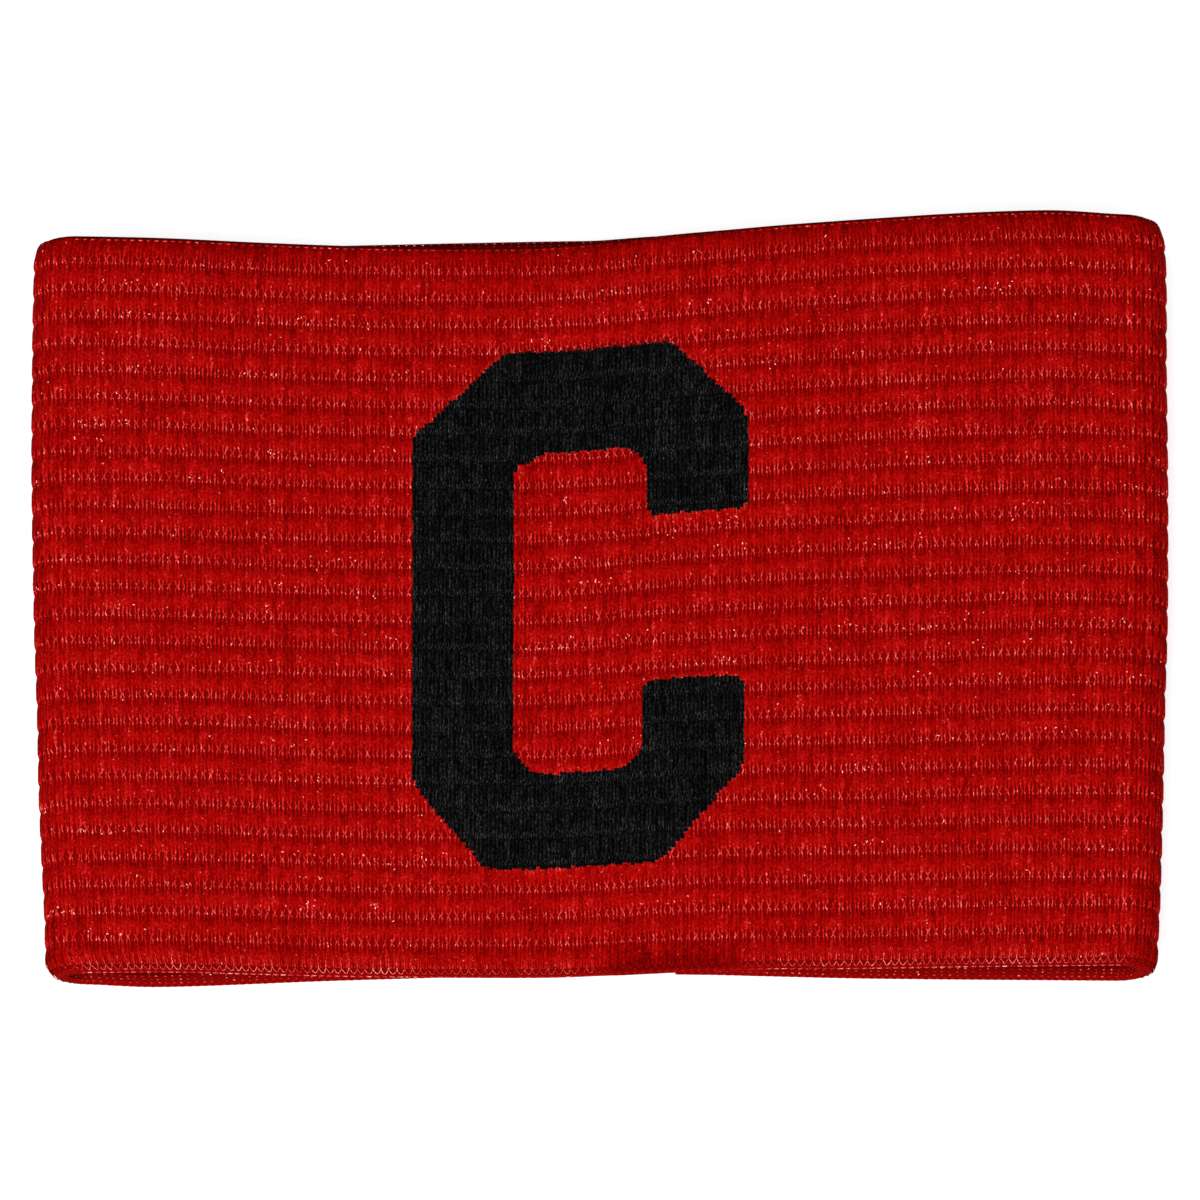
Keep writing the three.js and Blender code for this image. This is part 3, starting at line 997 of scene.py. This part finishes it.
# A closed slab that carries the yarn: its outer face follows the ribs, and its inner face is plain
def layGround():
    places = np.linspace(0, stripLength, int(stripLength / ground["step"]) + 1)
    width = webbing["width"]
    outer = ribRows(ground["ribShares"])
    nearRow, nextRow, firstRow = ground["innerRows"]
    lowestHeight, lowestDepth = ground["lowestRow"]
    outer = np.concatenate([[lowestHeight], outer[outer > ground["nextRow"]], [width - nearRow]])
    height = curve(yarn["rib"], 1, ribAt(outer)[1])
    underYarn = blend(ground["underGroove"], ground["underYarn"], height)
    middleRows = np.linspace(firstRow, width - firstRow, int(width / ground["innerStep"]))
    middleRows = np.concatenate([[nearRow, nextRow], middleRows, [width - nextRow, width - nearRow]])
    edge, edgeDepths = ground["edgeRound"], ground["edgeDepths"]
    inner = np.concatenate([[edge, edge], middleRows, [width - edge] * 2])
    innerDepth = np.concatenate([edgeDepths, np.full(len(middleRows), webbing["wall"]), edgeDepths[::-1]])
    ringHeights = np.concatenate([outer, inner[::-1]])
    s, w = np.meshgrid(places, ringHeights, indexing="ij")
    outerDepth = ribTop(s[:, : len(outer)], w[:, : len(outer)]) + underYarn
    outerDepth[:, 0] = lowestDepth
    ringDepths = np.concatenate([outerDepth, np.tile(innerDepth[::-1], (len(places), 1))], axis=1)
    count = len(ringHeights)
    isInner = np.arange(count) >= len(outer)
    pull = pulledIn(s) * np.where(isInner, -softness["stitchPullInside"], 1)
    points = onCloth(s, w, ringDepths + pull)
    i, j = np.meshgrid(np.arange(len(places) - 1), np.arange(count), indexing="ij")
    a, b = i * count + j, i * count + (j + 1) % count
    sides = np.stack([a, b, b + count, a, b + count, a + count], -1).reshape(-1, 3)
    cap = []
    low, high = 0, 0
    while low + 1 < len(outer) or high + 1 < len(inner):
        nextOuter = outer[low + 1] if low + 1 < len(outer) else np.inf
        nextInner = inner[high + 1] if high + 1 < len(inner) else np.inf
        innerIndex = count - 1 - high
        if nextOuter <= nextInner:
            cap.append((low, innerIndex, low + 1))
            low += 1
        else:
            cap.append((low, innerIndex, innerIndex - 1))
            high += 1
    cap = np.array(cap)
    faces = np.concatenate([sides, cap, cap[:, ::-1] + (len(places) - 1) * count])
    # the last value is 1 where the ground takes the painted shade of its inside colour
    return points, faces, s, w, np.maximum(furtherIn(w) * isInner, w > width - ground["darkTop"])


groundPoints, groundFaces, groundAlong, groundUp, groundInsideShade = layGround()
cloth = makePiece("groundCloth", groundPoints, groundFaces, redGround)
for name, values in (("alongStrip", groundAlong), ("upStrip", groundUp), ("within", groundInsideShade)):
    layer = cloth.data.attributes.new(name, "FLOAT", "POINT")
    layer.data.foreach_set("value", values.ravel().astype(np.float32))
cloth.data.set_sharp_from_angle(angle=math.radians(ground["sharpAngle"]))
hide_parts("band")
print("ground cloth laid")


# Edge loops and the rows of dashes

edgeLook = {
    "halfWidth": 0.056,
    "thickness": 0.1,
    # the lower edge's loops are U's that meet: across as a share of the pitch, height, depth, and tone,
    # paler towards the U's bottom as painted highlight
    "loop": [
        (-0.36, 2.2, 0.0, 0.52),
        (-0.5, 1.4, -0.07, 0.65),
        (-0.48, 0.66, -0.04, 0.77),
        (-0.2, 0.26, 0.05, 0.8),
        (0.0, 0.17, 0.1, 0.8),
        (0.2, 0.26, 0.05, 0.8),
        (0.48, 0.66, -0.04, 0.77),
        (0.5, 1.4, -0.07, 0.65),
        (0.36, 2.2, 0.0, 0.52),
    ],
    "loopWander": 0.035,
    "steadyHeight": 0.2,  # a loop's foot below this stays level
    "sinkSpread": 0.01,
    "toneSpread": 0.06,
    # painted shade on the sides of the loops
    "sideTone": 0.25,
    "shadeShare": 2,  # the edge's yarn gets so many times the ribs' painted shade
    "darkerStart": (-21.0, -15.0),  # from here the loops and dashes are drawn darker
    "darkerEnd": (21.0, 27.0),  # up to here
    "darkerTone": 0.12,
    "foldShade": 0.3,  # and painted shade round the folds
    # a row of short dashes: place up the band and depth, how far it stands out, length, height, shade
    "lowDash": {"w": 0.06, "depth": 1.0, "out": 0.08, "length": 0.72, "height": 0.075, "tone": 0.78},
    "highDash": {"w": 79.47, "depth": 0.07, "out": 0.03, "length": 0.42, "height": 0.05, "tone": 0.68},
    "dashShape": [(-1.0, 0.1), (-0.45, 1.0), (0.45, 1.0), (1.0, 0.1)],  # along, share of its fullness
    "dashShift": 0.03,
    "dashToneSpread": 0.08,
    "dashShadeHeight": 0.3,  # the height at which their painted shade is taken
    "backTone": 0.3,  # the back's dashes are this much darker
}


# Thin tubes of yarn lying on the webbing, from their places s, w and depth. above is 1 on the outer
# face and -1 on the inner one.
def layTubes(s, w, depth, halfWidth, thickness, above=1):
    across, down = np.array(yarn["section"]).T
    alongS, alongW = np.gradient(s, axis=1), np.gradient(w, axis=1)
    size = np.hypot(alongS, alongW) + 1e-9
    return onCloth(
        s[..., None] + across * halfWidth * (alongW / size)[..., None],
        w[..., None] - across * halfWidth * (alongS / size)[..., None],
        depth[..., None] + above * down * thickness,
    )


# How much darker the edge's yarn is drawn, s along the strip: along the middle of the front, and as painted
# shade round the folds
def edgeYarnDarkening(s):
    x = alongPath("x", s)
    tight = between(x, edgeLook["darkerStart"], edgeLook["darkerEnd"])
    return edgeLook["darkerTone"] * tight * alongPath("front", s) + edgeLook["foldShade"] * roundFold(s)


def layEdgeLoops():
    over, height, depth, tone = np.array(edgeLook["loop"]).T
    wanderBy = edgeLook["loopWander"]
    s = columnPlaces[:, None] + over * pitch + luck.normal(0, wanderBy, (columnCount, len(over)))
    loose = (height > edgeLook["steadyHeight"]) * np.sqrt(height)
    w = height + luck.normal(0, wanderBy, s.shape) * loose
    depth = depth + luck.normal(0, edgeLook["sinkSpread"], s.shape) + pulledIn(s)
    run = layTubes(s, w, depth, edgeLook["halfWidth"], edgeLook["thickness"])
    side = np.array(yarn["section"])[:, 1]
    shade = tone + luck.normal(0, edgeLook["toneSpread"], (columnCount, 1))
    shade = shade - edgeLook["shadeShare"] * paintedShade(s, w) - edgeYarnDarkening(s)
    return run, blend(shade[..., None], edgeLook["sideTone"], side)


loopPoints, loopTones = layEdgeLoops()
addRedYarn("edgeLoops", loopPoints, fullGrid(loopPoints), loopTones)


# One small lens of yarn for each column: on the lower edge's side, and on the face by the upper edge
def layDashes():
    ends, swell = np.array(edgeLook["dashShape"]).T[:, None, :, None]
    across, down = np.array(yarn["section"]).T
    runs, tones = [], []
    for name in ("lowDash", "highDash"):
        look = edgeLook[name]
        middle = (columnPlaces + luck.normal(0, edgeLook["dashShift"], columnCount))[:, None, None]
        s = middle + ends * look["length"] / 2
        breadth, rise = across * look["height"] * swell, look["out"] * swell * (1 - down)
        if name == "lowDash":
            w, depth = look["w"] - rise, look["depth"] + breadth
        else:
            w, depth = look["w"] + breadth, look["depth"] - rise + pulledIn(s)
        runs.append(onCloth(s, w, depth))
        onBack = 1 - alongPath("front", middle)
        tone = look["tone"] + luck.normal(0, edgeLook["dashToneSpread"], middle.shape)
        tone = tone - edgeLook["backTone"] * onBack
        tone = tone - edgeLook["shadeShare"] * paintedShade(middle, edgeLook["dashShadeHeight"]) - edgeYarnDarkening(middle)
        tones.append(np.broadcast_to(tone, runs[-1].shape[:-1]))
    return np.concatenate(runs), np.concatenate(tones)


dashPoints, dashTones = layDashes()
addRedYarn("edgeDashes", dashPoints, fullGrid(dashPoints), dashTones)


# Dots of yarn on the inside

insideDots = {
    "rows": 18,  # from either edge; further in, the material shows them
    "firstRow": 0.3,
    "rowPitch": 0.35,
    "halfLength": 0.16,
    "halfHeight": 0.1,
    "height": 0.08,
    "sunk": 0.02,  # their rims lie in the cloth
    "shift": (0.04, 0.03),  # along and up the strip
    "tone": 0.68,
    "toneSpread": 0.09,
    "innerShade": 0.3,  # further in they get painted shade, a darker red, like the ground
}


def layDots():
    rows = insideDots["firstRow"] + np.arange(insideDots["rows"]) * insideDots["rowPitch"]
    rows = np.concatenate([rows, webbing["width"] - rows])
    s, w = np.meshgrid(columnPlaces, rows, indexing="ij")
    shiftAlong, shiftUp = insideDots["shift"]
    s = s + luck.normal(0, shiftAlong, s.shape)
    w = w + luck.normal(0, shiftUp, w.shape)
    ds = np.array([-1, 0, 1, 0, 0]) * insideDots["halfLength"]
    dw = np.array([0, -1, 0, 1, 0]) * insideDots["halfHeight"]
    rise = np.array([-insideDots["sunk"]] * 4 + [insideDots["height"]])
    pull = softness["stitchPullInside"] * pulledIn(s)
    points = onCloth(s[..., None] + ds, w[..., None] + dw, webbing["wall"] + rise - pull[..., None])
    corners = np.array([(0, 4, 1), (1, 4, 2), (2, 4, 3), (3, 4, 0)])
    faces = (np.arange(s.size)[:, None, None] * 5 + corners).reshape(-1, 3)
    tone = blend(insideDots["tone"], insideDots["innerShade"], furtherIn(w))
    tone = (tone + luck.normal(0, insideDots["toneSpread"], s.shape))[..., None]
    return points.reshape(-1, 5, 3), faces, np.broadcast_to(tone, points.shape[:-1]).reshape(-1, 5)


dotPoints, dotFaces, dotTones = layDots()
addRedYarn("insideDots", dotPoints, dotFaces, dotTones)
print("edges and inside dressed")


# The lap's stitches

stitches = {
    "pitch": 1.5,  # up the band
    "fromEdge": 1.5,
    "swing": 0.9,  # to either side of the line
    "halfWidth": 0.13,
    "thickness": 0.14,
    "rise": 0.16,
    "sunk": 0.05,
    "shape": [(0.02, 0.0), (0.3, 1.0), (0.7, 1.0), (0.98, 0.0)],  # along one stitch, share of its rise
    "tone": 0.45,
}


def layStitches():
    count = int((webbing["width"] - 2 * stitches["fromEdge"]) / stitches["pitch"])
    corners = stitches["fromEdge"] + np.arange(count + 1) * stitches["pitch"]
    swing = stitches["swing"] * (2 * (np.arange(count + 1) % 2) - 1)
    share, lift = np.array(stitches["shape"]).T
    runs = []
    for line in stitchLines:
        for inside in (False, True):
            middle = stripLength - line if inside else line
            s = middle + blend(swing[:-1, None], swing[1:, None], share)
            w = blend(corners[:-1, None], corners[1:, None], share)
            if inside:
                base, above = webbing["wall"] - softness["stitchPullInside"] * pulledIn(s), -1
            else:
                base, above = webbing["edgeProud"] + pulledIn(s), 1
            depth = base - above * (stitches["rise"] * lift - stitches["sunk"])
            runs.append(layTubes(s, w, depth, stitches["halfWidth"], stitches["thickness"], above))
    return np.concatenate(runs)


stitchPoints = layStitches()
addRedYarn("lapStitches", stitchPoints, fullGrid(stitchPoints), stitches["tone"])
print("lap stitched")


# Loose filaments, drawn pale so that they give painted glints

fuzz = {
    "clumps": 210,
    "inClump": 5,
    "clumpSize": (1.6, 0.5),  # along and up the strip
    "single": 420,
    "share": (0.02, 0.5),  # the part of the rib where they come out
    "halfWidth": 0.04,
    "length": (0.1, 0.26),
    "rise": 0.05,
    "turn": 0.8,  # how far they lean and curl, in radians
    "bend": 0.9,
    "points": 4,
    "fromEnd": 1.0,  # no clump starts nearer to the strip's ends
    "fromEdge": 0.8,  # none lies nearer to its edges
    # pale, near the top of the yarn's colour ramp: painted glints
    "tone": 0.92,
    "toneSpread": 0.12,
}


def layFuzz():
    low, high = fuzz["fromEnd"], stripLength - fuzz["fromEnd"]
    clumps = luck.uniform(low, high, fuzz["clumps"]).repeat(fuzz["inClump"])
    clumpRibs = luck.integers(1, webbing["ribCount"], fuzz["clumps"]).repeat(fuzz["inClump"])
    clumpRows = luck.uniform(*fuzz["share"], fuzz["clumps"]).repeat(fuzz["inClump"])
    sizeAlong, sizeUp = fuzz["clumpSize"]
    singles = fuzz["single"]
    s = np.append(clumps + luck.normal(0, sizeAlong, len(clumps)), luck.uniform(low, high, singles))
    rib = np.append(clumpRibs, luck.integers(0, webbing["ribCount"], singles))
    row = np.append(clumpRows, luck.uniform(*fuzz["share"], singles))
    count = len(s)
    s = s.clip(low / 2, stripLength - low / 2)
    w = ribStarts[rib] + row * ribHeights[rib] + luck.normal(0, sizeUp / 2, count)
    w = w.clip(fuzz["fromEdge"], webbing["width"] - fuzz["fromEdge"])
    length = luck.uniform(*fuzz["length"], count)
    turn, bend = luck.normal(0, fuzz["turn"], count), luck.normal(0, fuzz["bend"], count)
    share = np.linspace(0, 1, fuzz["points"])
    angle = turn[:, None] + bend[:, None] * (share - 0.5)
    along = length[:, None] * (share - 0.5)
    sAt, wAt = s[:, None] + along * np.sin(angle), w[:, None] + along * np.cos(angle)
    depth = ribTop(sAt, wAt) - fuzz["rise"] * np.sin(np.pi * share)
    sideS, sideW = np.cos(angle) * fuzz["halfWidth"], -np.sin(angle) * fuzz["halfWidth"]
    ends = np.array([-1.0, 1.0])
    sAt, wAt = (at[..., None] + side[..., None] * ends for at, side in ((sAt, sideS), (wAt, sideW)))
    points = onCloth(sAt, wAt, depth[..., None])
    tone = fuzz["tone"] + luck.normal(0, fuzz["toneSpread"], count)[:, None, None]
    # none on the letter
    keep = np.ones((count, fuzz["points"] - 1), bool)
    for i, crossings in letterMeetings(s):
        keep[i] = sum(at < w[i] for at in crossings) % 2 == 0
    return points, gridFaces(keep, 2), np.broadcast_to(tone, points.shape[:-1])


addRedYarn("filamentGlints", *layFuzz())

# Floor, light and camera

studio = {
    "floorSize": 3.0,
    "floorGap": 0.0001,
    "floorColours": ("#bcbcbc", "#c4c4c4"),
    "floorGrain": 900.0,
    "floorRoughness": 0.9,
    "glow": 0.55,  # the floor is an opal sheet lit from below, as for a photo without shadows
    "keyPower": 3.6,
    "keySize": 0.5,
    "keyPlace": (-0.16, -0.3, 0.5),
    "fill": 1.1,
    "elevation": 79.3,
    "distance": 3.2,
    "lens": 900.0,  # so long that the near side is hardly wider than the far one
    "aim": (0.0, 0.0006, 0.0),
}

floorMesh = bpy.data.meshes.new("opalSheet")
half = studio["floorSize"] / 2
floorCorners = [(-half, -half, 0), (half, -half, 0), (half, half, 0), (-half, half, 0)]
floorMesh.from_pydata(floorCorners, [], [(0, 1, 2, 3)])
floor = bpy.data.objects.new("opalSheet", floorMesh)
bpy.context.scene.collection.objects.link(floor)
opal, tree = newMaterial("matt opal acrylic")
opalGrain = addNode(tree, "ShaderNodeTexNoise", values={"Scale": studio["floorGrain"], "Detail": 2.0})
opalDeep, opalPale = map(linear, studio["floorColours"])
opalColour = addNode(
    tree,
    "ShaderNodeMix",
    {"data_type": "RGBA"},
    {6: opalDeep, 7: opalPale},
    {0: opalGrain.outputs["Fac"]},
)
opalShader = addNode(
    tree,
    "ShaderNodeBsdfPrincipled",
    values={
        "Roughness": studio["floorRoughness"],
        "Emission Color": (1.0, 1.0, 1.0, 1.0),
        "Emission Strength": studio["glow"],
    },
    links={"Base Color": opalColour.outputs[2]},
)
addNode(tree, "ShaderNodeOutputMaterial", links={"Surface": opalShader.outputs["BSDF"]})
floorMesh.materials.append(opal)
floor.location.z = -studio["floorGap"]

world = bpy.data.worlds.new("softRoom")
bpy.context.scene.world = world
world.use_nodes = True
world.node_tree.nodes["Background"].inputs["Color"].default_value = (1, 1, 1, 1)
world.node_tree.nodes["Background"].inputs["Strength"].default_value = studio["fill"]

key = bpy.data.lights.new("softKey", "AREA")
key.energy = studio["keyPower"]
key.size = studio["keySize"]
keyLamp = bpy.data.objects.new("softKey", key)
keyLamp.location = studio["keyPlace"]
keyLamp.visible_camera = False
keyLamp.rotation_euler = (-Vector(studio["keyPlace"])).to_track_quat("-Z", "Y").to_euler()
bpy.context.scene.collection.objects.link(keyLamp)

lens = bpy.data.cameras.new("camera")
lens.lens = studio["lens"]
lens.clip_start = 0.01
camera = bpy.data.objects.new("camera", lens)
tilt = math.radians(studio["elevation"])
camera.location = Vector(studio["aim"]) + studio["distance"] * Vector((0, -math.cos(tilt), math.sin(tilt)))
camera.rotation_euler = (math.pi / 2 - tilt, 0, 0)
bpy.context.scene.collection.objects.link(camera)
bpy.context.scene.camera = camera
bpy.context.scene.view_settings.view_transform = "Standard"
print("studio set")
